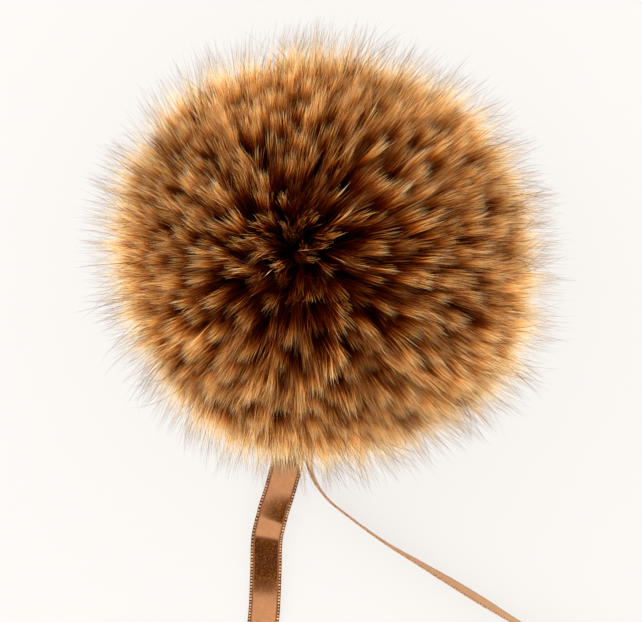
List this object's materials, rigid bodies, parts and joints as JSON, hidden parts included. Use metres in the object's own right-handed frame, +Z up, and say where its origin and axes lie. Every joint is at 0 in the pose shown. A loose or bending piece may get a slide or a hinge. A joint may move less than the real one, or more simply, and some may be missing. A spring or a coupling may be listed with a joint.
{
  "type": "pom pom",
  "caption": "Round long-pile faux fur pom pom with a folded satin ribbon under its base, whose two free tails tie it on or hang it up.",
  "frame": {"origin": "on the surface that the pom pom sits on, under the middle of the ball and on the flat underside of the folded ribbon", "axes": "+Z up through the crown of the ball; the ribbon's two tails run out towards -Y, the flat one to -X and the one on its edge to +X"},
  "size_m": [0.1831, 0.2671, 0.1212],
  "materials": {
    "fur": "long soft pile with dark roots and tan tips",
    "satin_ribbon": "glossy satin face"
  },
  "bodies": {
    "root": {"fur_pom": "fur", "ribbon_tie": "satin_ribbon"}
  },
  "joints": []
}
